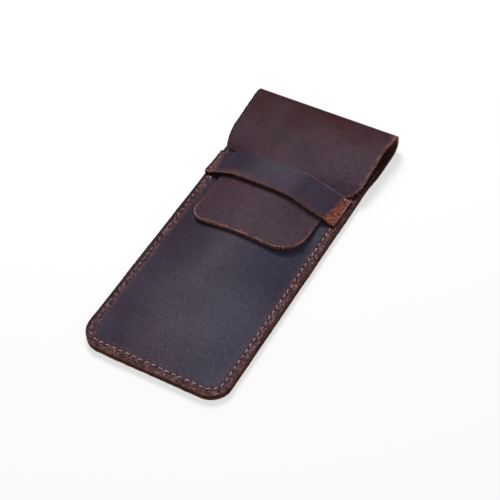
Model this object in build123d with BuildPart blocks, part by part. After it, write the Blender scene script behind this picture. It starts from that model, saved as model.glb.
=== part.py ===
"""Leather pen case, built as it is cut and sewn.

One long piece of leather is the back panel, rolls over a fold at the top, comes down as the
flap and ends in a tongue. A second piece is the crowned front panel, sewn to the back round
both sides and the bottom. A strap over the front, sewn down in the same seams, holds the tongue.

Millimetres. The back lies on z = 0 with the front up, +Y runs from the bottom end to the fold,
and the origin is the middle of the case's footprint.
"""
import math
import os

from build123d import *

os.makedirs("parts", exist_ok=True)

# Leather and overall size
leather = 1.8
case_length = 163.0
body_width = 70.0
flap_width = 72.0
bottom_corner_radius = 9.5

# Clearance between layers of leather that lie on each other but are not sewn
lay_gap = 0.25

# Front panel: a flat sewn rim round a crowned middle
crown_rise = 4.8
crown_fade_length = 24.0
mouth_to_fold_end = 19.5

# Seam: one row of saddle stitches, sunk in a groove on the back
stitch_inset = 3.0
stitch_to_crown = 2.0
stitch_pitch = 3.25
stitch_gap = 1.05
thread_width = 0.8
thread_height = 0.5
stitch_taper = 30.0
seam_top_margin = 1.5
groove_side_clearance = 0.25
thread_recess = 0.15

# Flap and tongue: bent over the crown, a round middle with straight flanks at the tongue's edges
arch_flank = 2.5
arch_slope = 13.5
shoulder_to_fold_end = 35.1
shoulder_inset = 3.8
shoulder_radius = 10.0
shoulder_tip_radius = 2.0
tongue_inset = 8.5
tongue_beyond_strap = 27.5
tongue_left_corner_radius = 7.5
tongue_right_corner_radius = 12.0

# Back panel's free top, which spreads from the sewn width to the flap's width
flare_length = 16.0
flare_radius = 30.0

# Retaining strap
strap_width = 15.8
strap_end_inset = 0.9
strap_centre_to_fold_end = 50.4
strap_skew = 2.1
strap_shoulder_past_tongue = 0.9
strap_foot_length = 3.6
strap_shoulder_radius = 3.0
strap_foot_radius = 1.8
strap_to_flap_gap = 0.7

# Heights, worked out from the layers
rim_top = 2 * leather
front_crest = rim_top + crown_rise
flap_underside = front_crest + lay_gap
flap_top = flap_underside + leather
strap_underside = flap_top + lay_gap
fold_outer_radius = flap_top / 2

# Places along the case
fold_end_y = case_length / 2
bottom_y = -case_length / 2
fold_axis_y = fold_end_y - fold_outer_radius
mouth_y = fold_end_y - mouth_to_fold_end
shoulder_y = fold_end_y - shoulder_to_fold_end
strap_y = fold_end_y - strap_centre_to_fold_end
tongue_tip_y = strap_y - strap_width / 2 - tongue_beyond_strap

body_half = body_width / 2
flap_half = flap_width / 2
shoulder_half = body_half - shoulder_inset
tongue_half = body_half - tongue_inset
arch_half = tongue_half - arch_flank
strap_half_length = body_half - strap_end_inset

# The crown's own outline and arc, inside the seam
crown_inset = stitch_inset + stitch_to_crown
crown_half = body_half - crown_inset
crown_bottom_y = bottom_y + crown_inset
crown_corner_radius = bottom_corner_radius - crown_inset
crown_corner_y = crown_bottom_y + crown_corner_radius
crown_full_y = crown_bottom_y + crown_fade_length

# Shares of the fade, from the bottom seam to the full crown, where its sections stand
fade_stations = (0.02, 0.08, 0.2, 0.36, 0.54, 0.72, 0.87, 1.0)
# Shares of the way from the fold to the strap, where the flap's sections stand
arch_stations = (0.0, 0.25, 0.5, 0.75, 1.0)
least_arch = 0.001
tall = 40.0


def strap_edge_y(x, side):
    """The strap's edge at x: side +1 is its upper edge, -1 its lower one."""
    slope = math.tan(math.radians(strap_skew))
    half = strap_width / 2 / math.cos(math.radians(strap_skew))
    return strap_y - x * slope + side * half


def split_y(x):
    """Where the flap ends and the tongue goes on, just short of the strap's upper edge."""
    return strap_edge_y(x, 1) + strap_to_flap_gap


def panel_outline(inset, top_y):
    """A panel with a rounded bottom, drawn this far inside the cut edge, up to top_y."""
    half = body_half - inset
    low = bottom_y + inset
    with BuildSketch() as outline:
        with BuildLine():
            FilletPolyline(
                (-half, top_y),
                (-half, low),
                (half, low),
                (half, top_y),
                radius=bottom_corner_radius - inset,
            )
            Line((half, top_y), (-half, top_y))
        make_face()
    return outline.sketch


def crown_section(half, rise, base_z):
    """A shallow arc over its chord."""
    with BuildSketch() as section:
        with BuildLine():
            ThreePointArc((-half, base_z), (0, base_z + rise), (half, base_z))
            Line((half, base_z), (-half, base_z))
        make_face()
    return section.sketch


def crown_half_at(y):
    """Half the crown's width, drawn in round the bottom corners."""
    past_corner = max(crown_corner_y - y, 0)
    drawn_in = crown_corner_radius - math.sqrt(crown_corner_radius**2 - past_corner**2)
    return crown_half - drawn_in


def crown_rise_at(share):
    """The crown's height over its chord, a parabola from the bottom seam to the full rise."""
    return crown_rise * (1 - (1 - share) ** 2)


def crown(base_z):
    """The pillow form of the front panel, over a chord plane at base_z."""
    with BuildPart() as pillow:
        for share in fade_stations:
            station_y = crown_bottom_y + share * crown_fade_length
            with BuildSketch(Plane.XZ.offset(-station_y)):
                add(crown_section(crown_half_at(station_y), crown_rise_at(share), base_z))
        loft()
        with BuildSketch(Plane.XZ.offset(-crown_full_y)):
            add(crown_section(crown_half, crown_rise, base_z))
        extrude(amount=-(mouth_y - crown_full_y))
    return pillow.part


def arch_line(crest_z, slope, radius, half):
    """A bent strip's outline across the case: flanks at this slope, a round middle of this
    radius with its crest at crest_z, out to half its width."""
    apex_z = crest_z + radius / math.cos(slope) - radius
    side_z = apex_z - half * math.tan(slope)
    return FilletPolyline((-half, side_z), (0, apex_z), (half, side_z), radius=radius)


def arch_section(slope):
    """The flap leather's cross-section, with its flanks falling at this slope."""
    radius = arch_half / math.sin(slope)
    with BuildSketch() as section:
        with BuildLine():
            under = arch_line(flap_underside, slope, radius, flap_half)
            over = arch_line(flap_top, slope, radius + leather, flap_half)
            Line(under @ 0, over @ 0)
            Line(under @ 1, over @ 1)
        make_face()
    return section.sketch


def arched_leather():
    """The strip from the fold to the tongue's tip: flat at the fold, and bent over the front
    panel's crown from the strap on."""
    full_slope = math.radians(arch_slope)
    arch_end_y = strap_edge_y(0, 1)
    with BuildPart() as strip:
        for share in arch_stations:
            station_y = fold_axis_y - share * (fold_axis_y - arch_end_y)
            with BuildSketch(Plane.XZ.offset(-station_y)):
                add(arch_section(max(share**2, least_arch) * full_slope))
        loft()
        with BuildSketch(Plane.XZ.offset(-arch_end_y)):
            add(arch_section(full_slope))
        extrude(amount=arch_end_y - tongue_tip_y)
    return strip.part


# Back panel: flat, with the groove that the back's stitches lie in
groove_half = thread_width / 2 + groove_side_clearance
groove_depth = thread_height + thread_recess
with BuildPart() as back_panel:
    with BuildSketch():
        with BuildLine():
            FilletPolyline(
                (-flap_half, fold_axis_y),
                (-flap_half, mouth_y + stitch_inset),
                (-body_half, mouth_y + stitch_inset - flare_length),
                (-body_half, bottom_y),
                (body_half, bottom_y),
                (body_half, mouth_y + stitch_inset - flare_length),
                (flap_half, mouth_y + stitch_inset),
                (flap_half, fold_axis_y),
                radius=[
                    flare_radius,
                    flare_radius,
                    bottom_corner_radius,
                    bottom_corner_radius,
                    flare_radius,
                    flare_radius,
                ],
            )
            Line((flap_half, fold_axis_y), (-flap_half, fold_axis_y))
        make_face()
    extrude(amount=leather)
    with BuildSketch():
        add(panel_outline(stitch_inset - groove_half, mouth_y))
        add(panel_outline(stitch_inset + groove_half, mouth_y), mode=Mode.SUBTRACT)
    extrude(amount=groove_depth, mode=Mode.SUBTRACT)
back_panel.part.label = "back_panel"

# Fold: the same leather, rolled over from the back to the flap
with BuildPart() as fold:
    with BuildSketch(Plane.YZ):
        with BuildLine():
            ThreePointArc(
                (fold_axis_y, 0), (fold_end_y, fold_outer_radius), (fold_axis_y, flap_top)
            )
            Line((fold_axis_y, flap_top), (fold_axis_y, flap_underside))
            ThreePointArc(
                (fold_axis_y, flap_underside),
                (fold_end_y - leather, fold_outer_radius),
                (fold_axis_y, leather),
            )
            Line((fold_axis_y, leather), (fold_axis_y, 0))
        make_face()
    extrude(amount=flap_half, both=True)
fold.part.label = "fold"

# Flap: from the fold to the strap, with drooping rounded shoulders
with BuildPart() as flap:
    add(arched_leather())
    with BuildSketch():
        with BuildLine():
            FilletPolyline(
                (-flap_half, fold_axis_y),
                (-flap_half, shoulder_y),
                (-shoulder_half, split_y(-shoulder_half)),
                (shoulder_half, split_y(shoulder_half)),
                (flap_half, shoulder_y),
                (flap_half, fold_axis_y),
                radius=[
                    shoulder_radius,
                    shoulder_tip_radius,
                    shoulder_tip_radius,
                    shoulder_radius,
                ],
            )
            Line((flap_half, fold_axis_y), (-flap_half, fold_axis_y))
        make_face()
    extrude(amount=tall, mode=Mode.INTERSECT)
flap.part.label = "flap"

# Tongue: the flap's narrow end, under the strap and out below it
with BuildPart() as tongue:
    add(arched_leather())
    with BuildSketch():
        with BuildLine():
            FilletPolyline(
                (-tongue_half, split_y(-tongue_half)),
                (-tongue_half, tongue_tip_y),
                (tongue_half, tongue_tip_y),
                (tongue_half, split_y(tongue_half)),
                radius=[tongue_left_corner_radius, tongue_right_corner_radius],
            )
            Line((tongue_half, split_y(tongue_half)), (-tongue_half, split_y(-tongue_half)))
        make_face()
    extrude(amount=tall, mode=Mode.INTERSECT)
tongue.part.label = "tongue"

# Front panel: sewn rim and crowned middle, open at the mouth
with BuildPart() as front_panel:
    with BuildSketch(Plane.XY.offset(leather)):
        add(panel_outline(0, mouth_y))
    extrude(amount=leather)
    add(crown(rim_top))
    add(crown(leather), mode=Mode.SUBTRACT)
front_panel.part.label = "front_panel"

# Retaining strap: feet on the rim, and a low arch over the tongue
slope = math.radians(arch_slope)
strap_middle_radius = arch_half / math.sin(slope) + leather + lay_gap + leather / 2
strap_apex_z = strap_underside + leather / 2 + strap_middle_radius * (1 / math.cos(slope) - 1)
strap_shoulder_x = tongue_half + strap_shoulder_past_tongue
strap_shoulder_z = strap_apex_z - strap_shoulder_x * math.tan(slope)
foot_x = strap_half_length - strap_foot_length
foot_z = rim_top + leather / 2
skew = math.radians(strap_skew)
strap_plane = Plane(
    origin=(0, strap_y, 0),
    x_dir=(math.cos(skew), -math.sin(skew), 0),
    z_dir=(-math.sin(skew), -math.cos(skew), 0),
)
with BuildPart() as retaining_strap:
    with BuildSketch(strap_plane):
        with BuildLine():
            middle = FilletPolyline(
                (-strap_half_length, foot_z),
                (-foot_x, foot_z),
                (-strap_shoulder_x, strap_shoulder_z),
                (0, strap_apex_z),
                (strap_shoulder_x, strap_shoulder_z),
                (foot_x, foot_z),
                (strap_half_length, foot_z),
                radius=[
                    strap_foot_radius,
                    strap_shoulder_radius,
                    strap_middle_radius,
                    strap_shoulder_radius,
                    strap_foot_radius,
                ],
                mode=Mode.PRIVATE,
            )
            offset(middle, amount=leather / 2, side=Side.LEFT, closed=False, mode=Mode.ADD)
            offset(middle, amount=leather / 2, side=Side.RIGHT, closed=False, mode=Mode.ADD)
            Line((-strap_half_length, rim_top), (-strap_half_length, rim_top + leather))
            Line((strap_half_length, rim_top), (strap_half_length, rim_top + leather))
        make_face()
    extrude(amount=strap_width / 2, both=True)
retaining_strap.part.label = "retaining_strap"

# The seam's line, from the mouth down one side, round the bottom and up the other
seam_half = body_half - stitch_inset
seam_top_y = mouth_y - seam_top_margin
seam_bottom_y = bottom_y + stitch_inset
with BuildLine() as seam:
    FilletPolyline(
        (-seam_half, seam_top_y),
        (-seam_half, seam_bottom_y),
        (seam_half, seam_bottom_y),
        (seam_half, seam_top_y),
        radius=bottom_corner_radius - stitch_inset,
    )
seam_wire = seam.wires()[0]
seam_length = seam_wire.length


def stitch_planes(start, end, height):
    """Planes for the stitches between two distances along the seam, evenly spaced."""
    count = round((end - start) / stitch_pitch)
    planes = []
    for number in range(count):
        along = start + (number + 0.5) * (end - start) / count
        here = seam_wire.position_at(along / seam_length)
        way = seam_wire.tangent_at(along / seam_length)
        planes.append(Plane(origin=(here.X, here.Y, height), x_dir=way, z_dir=(0, 0, 1)))
    return planes


# The seam climbs onto each strap end between two stitches
left_strap_top = seam_top_y - strap_edge_y(-seam_half, 1)
left_strap_low = seam_top_y - strap_edge_y(-seam_half, -1)
right_strap_low = seam_length - seam_top_y + strap_edge_y(seam_half, -1)
right_strap_top = seam_length - seam_top_y + strap_edge_y(seam_half, 1)
front_stitch_planes = (
    stitch_planes(0, left_strap_top, rim_top)
    + stitch_planes(left_strap_top, left_strap_low, rim_top + leather)
    + stitch_planes(left_strap_low, right_strap_low, rim_top)
    + stitch_planes(right_strap_low, right_strap_top, rim_top + leather)
    + stitch_planes(right_strap_top, seam_length, rim_top)
)
stitch_length = stitch_pitch - stitch_gap

# Stitches seen on the front, over the rim and the strap's ends
with BuildPart() as front_stitches:
    with BuildSketch(*front_stitch_planes):
        Rectangle(stitch_length, thread_width)
    extrude(amount=thread_height, taper=stitch_taper)
front_stitches.part.label = "front_stitches"

# Stitches seen on the back, up in their groove
with BuildPart() as back_stitches:
    with BuildSketch(*stitch_planes(0, seam_length, groove_depth)):
        Rectangle(stitch_length, thread_width)
    extrude(amount=-thread_height, taper=stitch_taper)
back_stitches.part.label = "back_stitches"

for piece in (
    back_panel,
    fold,
    flap,
    tongue,
    front_panel,
    retaining_strap,
    front_stitches,
    back_stitches,
):
    export_step(piece.part, f"parts/{piece.part.label}.step")
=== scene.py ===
"""Looks of the leather pen case: waxed pull-up leather, raw cut edges and a saddle-stitched seam.

Sizes are in millimetres until a mesh gets its points. The case lies on its back with the front
up, and +Y runs from the rounded bottom end to the fold.
"""
import math

import bpy
import numpy as np
from mathutils import Matrix, Vector, noise
from mathutils.bvhtree import BVHTree


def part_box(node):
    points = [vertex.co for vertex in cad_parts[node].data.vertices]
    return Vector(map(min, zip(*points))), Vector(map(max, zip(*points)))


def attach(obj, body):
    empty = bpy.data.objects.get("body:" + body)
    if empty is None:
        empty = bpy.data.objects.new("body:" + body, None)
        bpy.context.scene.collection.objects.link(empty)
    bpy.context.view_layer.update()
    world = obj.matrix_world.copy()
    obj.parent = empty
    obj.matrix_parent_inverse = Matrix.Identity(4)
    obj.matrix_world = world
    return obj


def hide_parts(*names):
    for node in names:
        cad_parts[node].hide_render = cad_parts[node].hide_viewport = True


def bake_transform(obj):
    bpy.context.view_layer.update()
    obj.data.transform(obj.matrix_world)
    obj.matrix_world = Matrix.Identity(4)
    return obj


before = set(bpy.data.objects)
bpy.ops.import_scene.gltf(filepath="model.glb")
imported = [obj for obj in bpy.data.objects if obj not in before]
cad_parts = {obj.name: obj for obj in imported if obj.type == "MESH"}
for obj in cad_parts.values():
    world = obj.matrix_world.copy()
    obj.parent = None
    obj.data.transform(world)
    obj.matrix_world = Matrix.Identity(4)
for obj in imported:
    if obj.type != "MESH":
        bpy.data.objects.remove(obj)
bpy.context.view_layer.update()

MM = 0.001


def node_box(node):
    """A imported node's corners, in millimetres."""
    low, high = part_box(node)
    return np.array(low) / MM, np.array(high) / MM


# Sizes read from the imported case
back_low, back_high = node_box("back_panel")
fold_high = node_box("fold")[1]
front_high = node_box("front_panel")[1]
tongue_low, tongue_high = node_box("tongue")
leather = back_high[2]
bottom_y = back_low[1]
fold_axis_y = back_high[1]
flap_half = back_high[0]
body_half = front_high[0]
mouth_y = front_high[1]
front_crest = front_high[2]
flap_top = fold_high[2]
fold_radius = flap_top / 2
tongue_half = tongue_high[0]
tip_y = tongue_low[1]
rim_top = 2 * leather

# Sizes of the cut. A pair such as lean_from_tip runs from where an effect starts to where it is
# full, here and below
bottom_corner = 9.5
worn_corner = 10.4
crown_inset = 5.0
crown_fade = 24.0
most_pressed = 0.97
edge_hang = 0.16
edge_hang_width = 1.8
flare_start = 13.0
flare_length = 16.0
roll_rise = 0.75
roll_springs = (1.3, 2.7)
spring_start_y = 57.0
widening_to_fold = (67, 76)
lean_from_fold = (66, 48)
lean_from_tip = (4, 18)
tongue_turn = 0.9
tip_corner_left = 7.5
tip_corner_right = 12.0
curl_left = 0.35
curl_right = 0.9
curl_left_across = (-10, -26)
curl_right_across = (6, 26)
curl_down = (14, -4)
arch_half = 24.0
arch_slope = math.radians(13.5)

# The flap's two sides: half its cut width, where its shoulder starts, and the shoulder's radius
flap_left = (flap_half - 0.2, 54.0, 35.0)
flap_right = (flap_half - 0.9, 50.0, 12.5)
shoulder_share = 0.95

# Sizes of the seam
stitch_inset = 3.0
left_stitch_inset = 2.4
left_row_across = (-20, -30)
left_row_up = (4, 16)
seam_top_margin = 1.5
groove_start = 1.2
valley_width = 0.8
hole_reach = 0.6
hole_search = 2.8
stitch_pitch = 3.25
stitch_gap = 1.0
stitch_rings = 6
stitch_sides = 6
stitch_rise = 0.14
stitch_sink = 0.5
stitch_slant = math.radians(7)
stitch_taper = 0.35
stitch_twists = 1.25
strap_stitch_sink = 0.1
thread_thickness = 0.5
ply_waist = 0.8
ply_swell = 0.26

# Where the seam's loose thread end lies: place, heading, and length with a stitch's gap
loose_end = ((-31.6, 23.6), math.radians(-30), 3.0)

# How much wax has soiled the thread, from 0 to 1
soil_usual = 0.3
soil_varies = 0.55
soil_on_left = 0.45
soil_on_strap = 0.8

# Sizes of the strap
strap_y = 31.1
strap_width = 15.7
strap_taper = -0.03
strap_skew = math.radians(2.1)
strap_left = body_half - 0.05
strap_right = body_half - 1.7
strap_thickness = 1.6
strap_foot_top = 5.2
strap_foot_left = 33.1
strap_foot_right = 31.5
strap_climb = 0.44
strap_sewn = (5.5, 4.0)
strap_bow = 0.35
strap_bow_length = 17
strap_end_slant = 0.15
strap_slanted_end = (-27, -33)
strap_lip_lift = 0.22
strap_lip_fade = 9
strap_slack_fade = 8
left_foot_start = 29.6
left_foot_slant = 2.6
left_foot_blur = 0.5
right_foot_start = 29.4
right_foot_curve = 1.8
right_foot_blur = 0.8
lay_gap = 0.45

# Where the tongue starts, just above the strap, with the mesh's rows close together there
tongue_start_y = strap_y + strap_width / 2 + 1.1
close_rows_y = tongue_start_y + 1.6
close_rows = 12
close_row_step = 0.27

# How far the strap pulls the tongue's sides down, where, and what share of it each layer follows
press_left = 1.1
press_right = 1.45
pull_left = (-18, -27)
pull_right = (8, 24)
pull_from_tip = (4, 20)
pull_from_flap = (45, 37)
flap_follows = 1.1
front_follows = 1.12

# The slow unevenness: its height, its wavelengths, and how far from an edge it is full
uneven_height = 0.42
uneven_lengths = (26, 31)
uneven_from_side = 12
uneven_from_end = 14
uneven_from_fold = 12

# The level of the back's stitches
back_stitch_z = 0.62

# Steps in from a cut edge where the mesh needs columns or rows, and the plain steps elsewhere
edge_steps = (0, 0.6, 1.2, 1.7, 2.1, 2.4, 2.7, 3.0, 3.3, 3.6, 4.0, 4.6, 5.4, 6.5, 8.0, 9.5)
tip_steps = (11.0, 12.5)
strap_steps = (0, 0.5, 1.0, 1.5, 2.2, 3.0, 4.0)
end_step = 0.3
fine_step = 0.5
wide_step = 1.3
strap_wide_step = 0.8
edge_rounding = 0.4
wander_length = 11
real_corner = math.radians(60)


# Shaping


def ease(value, none, full):
    """0 where a value is at none, 1 where it is at full, and soft at both ends between."""
    share = np.clip((value - none) / (full - none), 0, 1)
    return share * share * (3 - 2 * share)


def soft_least(a, b, sharpness):
    """The smaller of two heights, rounded where they cross."""
    return -np.log(np.exp(-sharpness * a) + np.exp(-sharpness * b)) / sharpness


def even_steps(start, end, step):
    """Places from start to end, both left out, about one step apart."""
    count = max(2, round(abs(end - start) / step))
    return [start + (end - start) * i / count for i in range(1, count)]


def columns_across():
    """Columns from one cut edge of the body to the other, close together near both."""
    left = [-body_half + e for e in edge_steps]
    right = [body_half - e for e in reversed(edge_steps)]
    return left + even_steps(left[-1], right[0], wide_step) + right


def strap_edge_y(x, side):
    """The strap's edge at x: side +1 is its upper edge, -1 its lower one."""
    width = strap_width - strap_taper * x
    return strap_y - x * math.tan(strap_skew) + side * width / 2 / math.cos(strap_skew)


def undulation(x, y):
    """The slow unevenness of soft leather, the same for all layers so that they stay apart."""
    wide, long = uneven_lengths
    wave = np.array([noise.noise(Vector((a / wide, b / long, 4.2))) for a, b in zip(x, y)])
    from_side = ease(body_half - np.abs(x), 0, uneven_from_side)
    return uneven_height * wave * from_side * ease(y - bottom_y, 0, uneven_from_end)


def pressed(x):
    """How far the strap pulls the leather under it down at x: not in the middle, and more on
    the right than on the left."""
    return press_right * ease(x, *pull_right) + press_left * ease(x, *pull_left)


def under_strap(y):
    """1 under the strap, and 0 where the leather is free of its pull."""
    return ease(y, *pull_from_tip) * ease(y, *pull_from_flap)


def new_grid(name, columns, rows):
    """A flat grid primitive, with each point's place in columns and rows."""
    bpy.ops.object.select_all(action="DESELECT")
    bpy.ops.mesh.primitive_grid_add(
        x_subdivisions=len(columns) - 1, y_subdivisions=len(rows) - 1, size=1
    )
    sheet = bpy.context.object
    sheet.name = name
    sheet.data.name = name
    flat = points_of(sheet)
    column = np.rint((flat[:, 0] + 0.5) * (len(columns) - 1)).astype(int)
    row = np.rint((flat[:, 1] + 0.5) * (len(rows) - 1)).astype(int)
    return sheet, column, row


def points_of(piece):
    """A mesh's points as an array."""
    flat = np.empty(len(piece.data.vertices) * 3)
    piece.data.vertices.foreach_get("co", flat)
    return flat.reshape(-1, 3)


def set_points(piece, points):
    """Writes an array of points into a mesh."""
    piece.data.vertices.foreach_set("co", points.ravel())
    piece.data.update()


def place_points(piece, x, y, z):
    """Gives a mesh its points, from millimetres."""
    set_points(piece, np.column_stack([x, y, z]) * MM)


def keep_value(piece, name, values):
    """Keeps one number for each point, for the material or for later shaping."""
    layer = piece.data.attributes.new(name, "FLOAT", "POINT")
    layer.data.foreach_set("value", np.asarray(values, np.float32))


def kept_value(piece, name):
    """Reads back what keep_value kept."""
    values = np.zeros(len(piece.data.vertices), np.float32)
    piece.data.attributes[name].data.foreach_get("value", values)
    return values


def round_corners(x, y, half, end_y, left_radius, right_radius):
    """Turns the two square corners at a grid's lower end into round ones."""
    radius = np.where(x < 0, left_radius, right_radius)
    beyond_x = np.abs(x) - (half - radius)
    beyond_y = end_y + radius - y
    corner = (beyond_x > 0) & (beyond_y > 0)
    a = np.where(corner, beyond_x, 1.0)
    b = np.where(corner, beyond_y, 0.0)
    reach = np.maximum(a, b)
    eighth = math.pi / 4
    turn = np.where(a >= b, eighth * b / a, 2 * eighth - eighth * a / np.maximum(b, 1e-9))
    round_x = np.sign(x) * (half - radius + reach * np.cos(turn))
    round_y = end_y + (radius - reach * np.sin(turn))
    return np.where(corner, round_x, x), np.where(corner, round_y, y)


def start_editing():
    """Into edit mode."""
    bpy.ops.object.mode_set(mode="EDIT")


def stop_editing():
    """Back to object mode."""
    bpy.ops.object.mode_set(mode="OBJECT")


def select_only(piece):
    """Makes one piece the only selected one, and the active one."""
    bpy.ops.object.select_all(action="DESELECT")
    piece.select_set(True)
    bpy.context.view_layer.objects.active = piece


def edit_whole(piece, operation, **settings):
    """Runs one edit-mode operation on all of a piece."""
    select_only(piece)
    start_editing()
    bpy.ops.mesh.select_all(action="SELECT")
    operation(**settings)
    stop_editing()


def apply_modifiers(piece):
    """Applies all of a piece's modifiers, in order."""
    select_only(piece)
    for modifier in list(piece.modifiers):
        bpy.ops.object.modifier_apply(modifier=modifier.name)


def give_thickness(piece, thickness=leather):
    """The sheet's drawn face is the grain side: thickness goes in behind it, and the cut edge
    between the two sides is rounded a little. Each point keeps its depth in the leather, 0 on
    the grain side and 1 on the flesh side."""
    grain_side = BVHTree.FromPolygons(
        [tuple(vertex.co) for vertex in piece.data.vertices],
        [tuple(face.vertices) for face in piece.data.polygons],
    )
    wall = piece.modifiers.new("thickness", "SOLIDIFY")
    wall.thickness = thickness * MM
    wall.offset = -1
    wall.material_offset = 1
    wall.material_offset_rim = 2
    worn = piece.modifiers.new("worn edges", "BEVEL")
    worn.width = edge_rounding * MM
    worn.segments = 3
    worn.limit_method = "ANGLE"
    worn.angle_limit = math.radians(50)
    worn.profile = 0.6
    apply_modifiers(piece)
    depths = [grain_side.find_nearest(v.co)[3] / (thickness * MM) for v in piece.data.vertices]
    keep_value(piece, "depth", depths)


def give_materials(piece, *names):
    """Fills a piece's slots: grain side, flesh side and cut edge."""
    for name in names:
        piece.data.materials.append(bpy.data.materials[name])


def smooth_shading(piece):
    """Smooth shading that keeps real corners."""
    select_only(piece)
    bpy.ops.object.shade_smooth_by_angle(angle=real_corner)


def roughen_cut_edge(piece, fray, grain, wander):
    """Frays a cut edge: its points move in and out along their normals by up to fray, at this
    grain, and the whole cut wanders slowly by up to wander, as a hand-cut edge does."""
    mesh = piece.data
    on_edge = np.zeros(len(mesh.vertices), bool)
    for face in mesh.polygons:
        if face.material_index == 2:
            on_edge[list(face.vertices)] = True
    places = points_of(piece)
    normals = np.array([vertex.normal for vertex in mesh.vertices])
    for index in np.flatnonzero(on_edge):
        here = Vector(places[index]) / MM
        out = normals[index] * (1, 1, 0)
        frayed = normals[index] * noise.noise(here / grain) * fray
        slow = out * noise.noise(Vector((here.x, here.y, 0)) / wander_length) * wander
        places[index] += (frayed + slow) * MM
    set_points(piece, places)


def split_off(piece, name, wanted):
    """Takes the faces for which wanted(face centres in mm) is true into their own piece, and
    closes it where it was cut."""
    select_only(piece)
    bpy.ops.object.duplicate()
    part = bpy.context.object
    part.name = name
    part.data.name = name
    start_editing()
    bpy.ops.mesh.select_mode(type="FACE")
    bpy.ops.mesh.select_all(action="DESELECT")
    stop_editing()
    centres = np.empty(len(part.data.polygons) * 3)
    part.data.polygons.foreach_get("center", centres)
    others = ~wanted(centres.reshape(-1, 3) / MM)
    part.data.polygons.foreach_set("select", others)
    start_editing()
    bpy.ops.mesh.delete(type="FACE")
    bpy.ops.mesh.select_mode(type="EDGE")
    bpy.ops.mesh.select_all(action="DESELECT")
    bpy.ops.mesh.select_non_manifold()
    bpy.ops.mesh.edge_face_add()
    stop_editing()
    return part


# The seam: down the left side, round the bottom and up the right side

seam_half = body_half - stitch_inset
seam_top_y = mouth_y - seam_top_margin
seam_low_y = bottom_y + stitch_inset
seam_radius = bottom_corner - stitch_inset
seam_side = seam_top_y - seam_low_y - seam_radius
seam_quarter = math.pi * seam_radius / 2
seam_base = 2 * (seam_half - seam_radius)
whole_seam = 2 * (seam_side + seam_quarter) + seam_base


def seam_point(along):
    """The seam's place and direction at this distance from its top left end, with the left
    side's row sewn a little nearer to the edge."""
    (x, y), heading = even_seam_point(along)
    return (x - float(seam_shift(x, y)), y), heading


def seam_shift(x, y):
    """How much nearer to the cut edge the row is sewn here: only on the left side, above the
    bottom corner."""
    on_left = ease(x, *left_row_across) * ease(y - bottom_y, *left_row_up)
    return (stitch_inset - left_stitch_inset) * on_left


def even_seam_point(along):
    """The seam's place and direction, with the same inset all round."""
    if along <= seam_side:
        return (-seam_half, seam_top_y - along), -math.pi / 2
    along -= seam_side
    if along <= seam_quarter:
        turn = along / seam_radius
        x = -seam_half + seam_radius * (1 - math.cos(turn))
        return (x, seam_low_y + seam_radius * (1 - math.sin(turn))), -math.pi / 2 + turn
    along -= seam_quarter
    if along <= seam_base:
        return (-seam_half + seam_radius + along, seam_low_y), 0.0
    along -= seam_base
    if along <= seam_quarter:
        turn = along / seam_radius
        x = seam_half - seam_radius * (1 - math.sin(turn))
        return (x, seam_low_y + seam_radius * (1 - math.cos(turn))), turn
    along -= seam_quarter
    return (seam_half, seam_low_y + seam_radius + along), math.pi / 2


def stitch_spans(start, end):
    """(middle, length) of each stitch between two distances along the seam."""
    count = round((end - start) / stitch_pitch)
    pitch = (end - start) / count
    return [(start + (i + 0.5) * pitch, pitch) for i in range(count)]


strap_marks = [
    seam_top_y - strap_edge_y(-seam_half, 1),
    seam_top_y - strap_edge_y(-seam_half, -1),
    whole_seam - seam_top_y + strap_edge_y(seam_half, -1),
    whole_seam - seam_top_y + strap_edge_y(seam_half, 1),
]
front_spans = []
marks = [0, *strap_marks, whole_seam]
for number in range(5):
    on_strap = number in (1, 3)
    for middle, length in stitch_spans(marks[number], marks[number + 1]):
        front_spans.append((middle, length, on_strap))
back_spans = [(middle, length, False) for middle, length in stitch_spans(0, whole_seam)]


def hole_places(spans):
    """The awl holes, one at each end of a stitch."""
    holes = []
    for middle, length, _ in spans:
        holes.append(seam_point(max(middle - length / 2, 0))[0])
        holes.append(seam_point(min(middle + length / 2, whole_seam))[0])
    return np.array(holes)


def near_hole(x, y, inset, holes):
    """1 at an awl hole, falling to 0 about a millimetre from it."""
    share = np.zeros_like(x)
    close = np.abs(inset - stitch_inset) < hole_search
    gap_x = x[close, None] - holes[:, 0]
    gap_y = y[close, None] - holes[:, 1]
    share[close] = np.exp(-(gap_x**2 + gap_y**2).min(axis=1) / hole_reach**2)
    return share


def seam_inset_at(x, y):
    """How far in from the cut edge the seam runs beside this place."""
    return stitch_inset - seam_shift(x, y)


def seam_dip(from_seam, pits, valley, pit):
    """How far a stitched surface is drawn in: a shallow valley along the seam, with a pit at
    each hole."""
    return valley * np.exp(-((from_seam / valley_width) ** 2)) + pit * pits


# Leather pieces


def arch_drop(x, slope):
    """How far the flap's grain side drops at x, where its flanks fall at this slope."""
    slope = np.maximum(slope, 1e-4)
    radius = arch_half / np.sin(slope) + leather
    flank_x = radius * np.sin(slope)
    away = np.abs(x)
    in_arc = np.minimum(away, flank_x)
    drop = radius - np.sqrt(radius**2 - in_arc**2)
    return drop + np.maximum(away - flank_x, 0) * np.tan(slope)


def slope_at(y):
    """The flap's flank slope: none at the fold, and full from the strap on."""
    arch_end_y = strap_y + strap_width / 2
    share = np.clip((fold_axis_y - y) / (fold_axis_y - arch_end_y), 0, 1)
    return share**3 * arch_slope


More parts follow.
